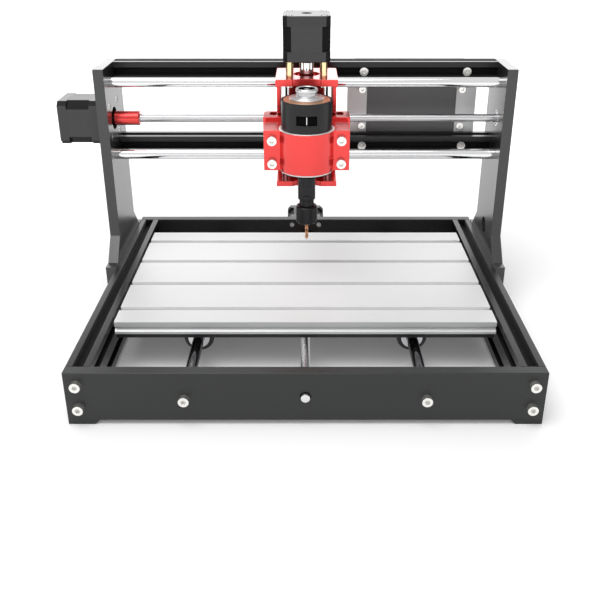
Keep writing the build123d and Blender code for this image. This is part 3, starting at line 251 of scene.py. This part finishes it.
def eased(node, width):
    """A copy of a CAD node with its sharp edges eased by width millimetres."""
    bm = bmesh.new()
    bm.from_mesh(frame["nodes"][node].data)
    bmesh.ops.remove_doubles(bm, verts=bm.verts, dist=2e-6)
    bmesh.ops.dissolve_limit(bm, angle_limit=math.radians(0.5), verts=bm.verts, edges=bm.edges)
    sharp = [e for e in bm.edges if e.is_manifold and e.calc_face_angle(0) > math.radians(40)]
    bmesh.ops.bevel(bm, geom=sharp, offset=width * MM, offset_type="OFFSET", segments=2,
                    profile=0.5, affect="EDGES", clamp_overlap=True, loop_slide=True)
    return bm


def turn_from_z(axis):
    """The turn that takes +Z to the given direction."""
    return Vector((0, 0, 1)).rotation_difference(Vector(axis)).to_matrix().to_4x4()


def threaded(node, axis_index, bearing_end, plain=9.0, lead=8.0, starts=4, depth=0.75):
    """A lead screw on the CAD bar's own line: a trapezoidal thread and a plain journal at one end."""
    low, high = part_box(node)
    length = high[axis_index] - low[axis_index]
    middle = (low + high) / 2
    radius = (high - low)[(axis_index + 1) % 3] / 2
    pitch = lead / starts * MM
    profile = [(0.0, radius), (0.36, radius), (0.53, radius - depth * MM), (0.83, radius - depth * MM)]
    around = 28
    rows = []
    first = -math.ceil((length / 2 + lead * MM) / pitch) - starts
    last = -first
    bm = bmesh.new()
    for k in range(first, last + 1):
        for share, r in profile:
            row = []
            for i in range(around):
                angle = 2 * math.pi * i / around
                z = (k + share) * pitch + lead * MM * i / around
                row.append(bm.verts.new((r * math.cos(angle), r * math.sin(angle), z)))
            rows.append(row)
    jump = starts * len(profile)
    for j in range(len(rows) - 1):
        for i in range(around - 1):
            bm.faces.new((rows[j][i], rows[j][i + 1], rows[j + 1][i + 1], rows[j + 1][i]))
        if j + 1 + jump < len(rows):
            bm.faces.new((rows[j + jump][0], rows[j + jump + 1][0], rows[j + 1][-1], rows[j][-1]))
    journal = plain * MM
    for sign in (-1, 1):
        stop = length / 2 - (journal if sign == bearing_end else 0)
        bmesh.ops.bisect_plane(bm, geom=bm.verts[:] + bm.edges[:] + bm.faces[:], dist=1e-7,
                               plane_co=(0, 0, sign * stop), plane_no=(0, 0, sign), clear_outer=True)
        rim = [e for e in bm.edges
               if e.is_boundary and all(abs(v.co.z - sign * stop) < 1e-6 for v in e.verts)]
        bmesh.ops.contextual_create(bm, geom=rim)
    r, tip, foot = radius / MM, length / 2 / MM, (length / 2 - journal) / MM
    turned = [(r - 0.8, foot), (r, foot + 0.6), (r, tip - 1.4), (r - 0.35, tip - 0.55),
              (r - 1.2, tip - 0.1), (r - 2.2, tip)]
    lathe(bm, [(a, bearing_end * z) for a, z in turned], 40)
    axis = [0, 0, 0]
    axis[axis_index] = 1
    place = Matrix.Translation(middle) @ turn_from_z(axis)
    return piece(node + "_thread", bm, node, [finishes["lead_screw_steel"]], place)


def corner_square(size, corner, z):
    """The outline of a motor section: a square with cut corners, at height z."""
    h, c = size / 2 * MM, corner * MM
    points = [(h, c - h), (h, h - c), (h - c, h), (c - h, h),
              (-h, h - c), (-h, c - h), (c - h, -h), (h - c, -h)]
    return [(x, y, z * MM) for x, y in points]


def tower(bm, outlines, loop=False):
    """Skin a stack of outlines that have the same number of points, capped or joined in a loop."""
    rings = [[bm.verts.new(p) for p in outline] for outline in outlines]
    faces = []
    for a, b in zip(rings, rings[1:] + rings[:1] if loop else rings[1:]):
        for i in range(len(a)):
            j = (i + 1) % len(a)
            faces.append(bm.faces.new((a[i], a[j], b[j], b[i])))
    if not loop:
        faces.append(bm.faces.new(rings[0][::-1]))
        faces.append(bm.faces.new(rings[-1]))
    return faces


def ring(radius, z, count, centre):
    """A circle of count points at height z; all lengths are in millimetres."""
    return [((centre[0] + radius * math.cos(2 * math.pi * i / count)) * MM,
             (centre[1] + radius * math.sin(2 * math.pi * i / count)) * MM, z * MM) for i in range(count)]


def lathe(bm, profile, count=40, centre=(0, 0), loop=False):
    """Turn a profile of (radius, z) points: a capped solid, or a hollow one if it loops."""
    return tower(bm, [ring(r, z, count, centre) for r, z in profile], loop)


threaded("x_lead_screw", 0, 1)
threaded("y_lead_screw", 1, -1, 14.0)
threaded("z_lead_screw", 2, -1)


def paint_corner_shade(faces):
    """Paint the cut corners of a motor near-black: painted shade."""
    for face in faces:
        corner = sum((vert.co for vert in face.verts), Vector()) / len(face.verts)
        if abs(abs(corner.x) - abs(corner.y)) < 1.5 * MM and corner.xy.length > 20 * MM:
            face.material_index = 4


def motor(node, outward):
    """A stepping motor: two cast caps, a laminated stack with deeper corners, four long screws. Its cut
    corners, shaft hole and screw rings carry painted shade; its outer end face carries painted glare.
    """
    low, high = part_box(node)
    size, length, cap, corner, stack_corner = 42.3, 40.0, 9, 4, 7.5
    axis = Vector(outward)
    k = max(range(3), key=lambda i: abs(axis[i]))
    centre = (low + high) / 2
    end = high[k] if axis[k] > 0 else low[k]
    centre[k] = end - axis[k] * length * MM
    bm = bmesh.new()
    for z0, z1, top in ((0, cap, False), (length - cap, length - 0.1, True)):
        e = 0.5
        rows = [corner_square(size - 2 * e * (not top), corner, z0), corner_square(size, corner, z0 + e),
                corner_square(size, corner, z1 - e), corner_square(size - 2 * e * top, corner, z1)]
        faces = tower(bm, rows)
        paint_corner_shade(faces)
        # The outer end face takes the lighter grey: painted glare.
        if top:
            faces[-1].material_index = 1
    laminations = []
    count = 22
    step = (length - 2 * cap) / count
    for i in range(count):
        z = cap + i * step
        laminations += [corner_square(size - 0.2, stack_corner + 0.1, z),
                        corner_square(size, stack_corner, z + 0.15 * step),
                        corner_square(size, stack_corner, z + 0.85 * step),
                        corner_square(size - 0.2, stack_corner + 0.1, z + step)]
    paint_corner_shade(tower(bm, laminations))
    pilot = [(3, 0.2), (3, -1.9), (10.6, -1.9), (11, -1.5), (11, 0.2)]
    lathe(bm, pilot, 40)
    low_z = length - 0.5
    # A near-black disc on the end face at the shaft's hole: painted shade.
    for face in lathe(bm, [(4.8, low_z), (4.8, length - 0.07), (0.3, length - 0.07)], 32):
        face.material_index = 3
    for x in (-15.5, 15.5):
        for y in (-15.5, 15.5):
            # Near-black rings around the cap screws: painted shade of their counterbores.
            for face in lathe(bm, [(3.1, low_z), (3.1, length - 0.05), (1.9, length - 0.05)], 20, (x, y)):
                face.material_index = 3
            screw = [(1.9, low_z), (1.9, length - 0.02), (1.2, length), (1.0, length - 0.08)]
            for face in lathe(bm, screw, 20, (x, y)):
                face.material_index = 2
    materials = [finishes["motor_black"], cap_glare_paint, finishes["screw_steel"], deep_shadow_paint, motor_corner_shade]
    place = Matrix.Translation(centre) @ turn_from_z(outward)
    return piece(node + "_shell", bm, node, materials, place)


motor("x_motor_body", (-1, 0, 0))
motor("y_motor_body", (0, 1, 0))
motor("z_motor_body", (0, 0, 1))


def end_mill():
    """A two-flute cutter: a round shank that runs into a helical fluted end with a V point."""
    node = "end_mill"
    low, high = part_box(node)
    centre = (low + high) / 2
    radius = (high - low).x / 2
    count, steps = 36, 60
    fluted, turns, flute_depth = 15 * MM, 1.6, 0.42
    outlines = []
    for s in range(steps + 1):
        t = s / steps
        z = low.z + fluted * t
        twist = 2 * math.pi * turns * t
        fade = min(1, (1 - t) * 5)
        point = min(1, 0.18 + (z - low.z) / (2 * MM))
        outline = []
        for i in range(count):
            angle = 2 * math.pi * i / count
            wave = max(0, math.cos(2 * (angle - twist)))
            r = radius * point * (1 - flute_depth * fade * wave ** 0.7)
            outline.append((centre.x + r * math.cos(angle), centre.y + r * math.sin(angle), z))
        outlines.append(outline)
    for z in (low.z + fluted + 0.2 * MM, high.z - 0.3 * MM, high.z):
        r = radius * (0.85 if z == high.z else 1)
        outlines.append([(centre.x + r * math.cos(2 * math.pi * i / count),
                          centre.y + r * math.sin(2 * math.pi * i / count), z) for i in range(count)])
    bm = bmesh.new()
    tower(bm, outlines)
    return piece("fluted_cutter", bm, node, [finishes["coated_carbide"]])


end_mill()

own_finish = {"box_strips": strip_metal, "z_coupler": finishes["polished_rod"],
              "spindle_sleeve": sleeve_black, "left_upright": upright_paint, "right_upright": upright_paint}
# The can inside the sleeve is near-black: painted shade seen through the sleeve's window.
frame["nodes"]["spindle_can"].data.materials[0] = deep_shadow_paint
# The Y rods get the darkened chrome: painted dark reflection.
frame["nodes"]["y_rods"].data.materials[0] = chrome_painted_dark
edge_widths = {
    "front_plate": 0.6, "rear_plate": 0.6, "left_upright": 0.6, "right_upright": 0.6,
    "carriage_top_plate": 0.4, "carriage_bottom_plate": 0.4, "carriage_channel": 0.4, "z_slide": 0.4,
    "control_box": 0.5, "box_cover": 0.4, "box_strips": 0.3,
    "spindle_sleeve": 0.3, "spindle_end_cap": 0.2, "collet_nut": 0.2,
    "collet_chuck": 0.2, "z_standoffs": 0.25, "bed_support_plate": 0.4, "y_bearing_holders": 0.4,
    "y_nut_bracket": 0.4, "frame_screws": 0.2, "mount_screws": 0.2, "carriage_screws": 0.15,
    "bed_screws": 0.15, "small_screws": 0.15, "x_coupler": 0.2, "y_coupler": 0.2, "z_coupler": 0.2,
    "x_nut": 0.2, "y_nut": 0.2, "z_nut": 0.2, "power_rocker": 0.3,
}
for node, width in edge_widths.items():
    finish = own_finish.get(node, finishes[slot_of[node]])
    piece(node + "_body", eased(node, width), node, [finish])


def slotted(node, finish, inside, margins):
    """An extrusion whose faces deeper than the margins (axis, mm) take the inside colour: painted shade in
    the rails' and beams' slots, painted light in the bed's.
    """
    bm = eased(node, 0.25)
    low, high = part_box(node)
    for face in bm.faces:
        middle = face.calc_center_median()
        if all(low[k] + m * MM < middle[k] < high[k] - m * MM for k, m in margins):
            face.material_index = 1
    piece(node + "_body", bm, node, [finish, inside])


# Rails and beams: the faces deep in their slots carry painted shade.
for node in ("left_rail", "right_rail"):
    slotted(node, finishes["black_extrusion"], slot_painted_shade, ((0, 0.3), (2, 0.3), (1, 0.3)))
for node in ("top_beam", "lower_beam"):
    slotted(node, finishes["black_extrusion"], slot_painted_shade, ((1, 0.3), (2, 0.3), (0, 0.3)))
# The bed's T-slots carry painted light.
slotted("bed", finishes["silver_aluminium"], slot_painted_light, ((1, 2.8), (2, 0.3), (0, 0.3)))


def rear_boss():
    """The spindle's rear boss: a stepped disc and a lipped, hollow collar, with painted shade on the faces
    inside the collar's recess.
    """
    node = "spindle_rear_boss"
    low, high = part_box(node)
    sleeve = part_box("spindle_sleeve")[1].z / MM
    top = high.z / MM
    bottom = low.z / MM
    centre = (low + high) / 2 / MM
    bore, disc, collar, recess = 2.6, 15.4, 9.7, 7.2
    waist = collar - 0.9
    profile = [(bore, bottom), (9.6, bottom), (9.6, sleeve + 0.02), (disc - 0.3, sleeve + 0.02),
               (disc, sleeve + 0.4), (disc, sleeve + 1.5), (disc - 0.5, sleeve + 2.0),
               (12.4, sleeve + 2.2), (12.0, sleeve + 2.7), (10.4, sleeve + 2.7),
               (9.0, sleeve + 3.4), (waist, sleeve + 4.0), (waist, top - 3.6), (collar, top - 3.0),
               (collar, top - 0.9), (collar - 0.6, top), (recess + 0.5, top), (recess, top - 0.5),
               (recess, top - 2.5), (bore, top - 2.5)]
    bm = bmesh.new()
    faces = lathe(bm, profile, 64, centre, True)
    for face in faces:
        # The faces inside the collar's recess get painted shade.
        spot = face.calc_center_median()
        if (spot.xy / MM - centre.xy).length < recess + 0.1 and spot.z / MM > top - 3:
            face.material_index = 1
    piece(node + "_body", bm, node, [polished, deep_shadow_paint])


rear_boss()


def brush_tab():
    """The light tab that shows in the sleeve's window, just in front of the can."""
    low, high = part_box("spindle_can")
    sleeve_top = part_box("spindle_sleeve")[1].z
    x, front = (low.x + high.x) / 2, low.y
    bm = bmesh.new()
    outlines = []
    for depth, half in ((17.6, 0.2), (17.2, 0.35), (11.2, 0.35), (10.8, 0.2)):
        z = sleeve_top - depth * MM
        left, right = x - half * MM, x + half * MM
        near, far = front - 0.5 * MM, front + 0.1 * MM
        outlines.append([(left, near, z), (right, near, z), (right, far, z), (left, far, z)])
    tower(bm, outlines)
    piece("brush_tab", bm, "spindle_can", [finishes["bearing_steel"]], replaces=False)


brush_tab()


def clamp():
    """The spindle mount, with turned rims on its clamping ring coloured pale: painted highlight."""
    node = "spindle_mount"
    bm = eased(node, 0.4)
    low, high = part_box(node)
    spindle_low, spindle_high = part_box("spindle_sleeve")
    centre = (spindle_low + spindle_high) / 2 / MM
    bore = (spindle_high.x - spindle_low.x) / 2 / MM + 0.15
    for z, out, rise, wide in ((high.z / MM, 1, 0.5, 2.1), (low.z / MM, -1, 1.7, 1.1)):
        outer = bore + wide
        profile = [(bore, z - out), (bore, z + rise * out), (outer - 0.4, z + rise * out),
                   (outer, z + 0.6 * rise * out), (outer, z - out)]
        for face in lathe(bm, profile, 64, centre, True):
            face.material_index = 1
    piece(node + "_body", bm, node, [finishes[slot_of[node]], rim_painted_highlight])


clamp()

# ---------------------------------------------------------------------------
# floor, light and camera
# ---------------------------------------------------------------------------
floor_material = bpy.data.materials.new("pale_floor")
floor_material.use_nodes = True
floor_nodes = floor_material.node_tree.nodes
floor_link = floor_material.node_tree.links.new
floor_shader = floor_nodes["Principled BSDF"]
floor_shader.inputs["Base Color"].default_value = (0.93, 0.93, 0.93, 1)
floor_shader.inputs["Roughness"].default_value = 0.6
floor_shader.inputs["Specular IOR Level"].default_value = 0.2
floor_shader.inputs["Emission Color"].default_value = (1, 1, 1, 1)

# The floor glows more with distance, so it fades into the white background.
distance = floor_nodes.new("ShaderNodeVectorMath")
distance.operation = "LENGTH"
floor_link(floor_nodes.new("ShaderNodeTexCoord").outputs["Object"], distance.inputs[0])
glow = floor_nodes.new("ShaderNodeMapRange")
glow.interpolation_type = "SMOOTHSTEP"
for key, number in (("From Min", 0.25), ("From Max", 1.1), ("To Min", 0.12), ("To Max", 0.6)):
    glow.inputs[key].default_value = number
floor_link(distance.outputs["Value"], glow.inputs["Value"])
floor_link(glow.outputs["Result"], floor_shader.inputs["Emission Strength"])

bm = bmesh.new()
bmesh.ops.create_grid(bm, x_segments=1, y_segments=1, size=9)
floor_mesh = bpy.data.meshes.new("floor")
bm.to_mesh(floor_mesh)
bm.free()
floor_mesh.materials.append(floor_material)
floor = bpy.data.objects.new("floor", floor_mesh)
floor.location.z = -0.0002
bpy.context.scene.collection.objects.link(floor)

world = bpy.data.worlds.new("studio")
world.use_nodes = True
bpy.context.scene.world = world


def studio_light():
    """Even white light, dimmer at both sides and brighter low at the back. The camera sees white."""
    tree = world.node_tree
    link = tree.links.new

    def node(kind, **settings):
        made = tree.nodes.new(kind)
        for key, value in settings.items():
            setattr(made, key, value)
        return made

    def span(value, low, high, at_low, at_high):
        made = node("ShaderNodeMapRange", interpolation_type="SMOOTHSTEP")
        for key, number in zip(("From Min", "From Max", "To Min", "To Max"), (low, high, at_low, at_high)):
            made.inputs[key].default_value = number
        link(value, made.inputs["Value"])
        return made.outputs["Result"]

    def maths(kind, a, b=None):
        made = node("ShaderNodeMath", operation=kind)
        for socket, value in zip(made.inputs, (a, b)):
            if isinstance(value, (int, float)):
                socket.default_value = value
            elif value is not None:
                link(value, socket)
        return made.outputs["Value"]

    parts = node("ShaderNodeSeparateXYZ")
    link(node("ShaderNodeTexCoord").outputs["Generated"], parts.inputs["Vector"])
    x, y, z = parts.outputs["X"], parts.outputs["Y"], parts.outputs["Z"]
    sides = span(maths("ABSOLUTE", x), 0.38, 0.82, 1.0, 0.10)
    behind = maths("MULTIPLY", span(y, 0.45, 0.85, 0.0, 1.0), span(z, 0.30, 0.58, 1.0, 0.0))
    level = maths("MULTIPLY", sides, maths("ADD", maths("MULTIPLY", behind, 1.6), 0.85))
    soft = tree.nodes["Background"]
    soft.inputs["Color"].default_value = (1, 1, 1, 1)
    link(level, soft.inputs["Strength"])
    plain = node("ShaderNodeBackground")
    plain.inputs["Color"].default_value = (1, 1, 1, 1)
    choose = node("ShaderNodeMixShader")
    link(node("ShaderNodeLightPath").outputs["Is Camera Ray"], choose.inputs["Fac"])
    link(soft.outputs["Background"], choose.inputs[1])
    link(plain.outputs["Background"], choose.inputs[2])
    link(choose.outputs["Shader"], tree.nodes["World Output"].inputs["Surface"])


studio_light()


def panel(name, place, target, width, height, power):
    """A soft rectangular lamp that the camera doesn't see."""
    lamp = bpy.data.lights.new(name, "AREA")
    lamp.shape = "RECTANGLE"
    lamp.size, lamp.size_y = width, height
    lamp.energy = power
    thing = bpy.data.objects.new(name, lamp)
    thing.location = place
    thing.rotation_mode = "QUATERNION"
    thing.rotation_quaternion = (Vector(target) - Vector(place)).to_track_quat("-Z", "Y")
    thing.visible_camera = False
    bpy.context.scene.collection.objects.link(thing)


panel("overhead", (-0.4, -0.5, 1.7), (0, 0, 0.1), 1.3, 1.3, 18)

# The camera fitted to the photo: its focal length in picture elements, and the picture's width.
focal_pixels, picture_pixels = 773.44, 600
camera = bpy.data.cameras.new("camera")
camera.sensor_width = 36
camera.lens = focal_pixels / picture_pixels * camera.sensor_width
camera.shift_x = -0.00905
camera.shift_y = -0.0886
camera.clip_start = 0.01
viewer = bpy.data.objects.new("camera", camera)
viewer.location = (0.020, -0.69265, 0.38247)
viewer.rotation_euler = (math.radians(90 - 23.96), 0, 0)
bpy.context.scene.collection.objects.link(viewer)
bpy.context.scene.camera = viewer
bpy.context.scene.view_settings.view_transform = "Standard"
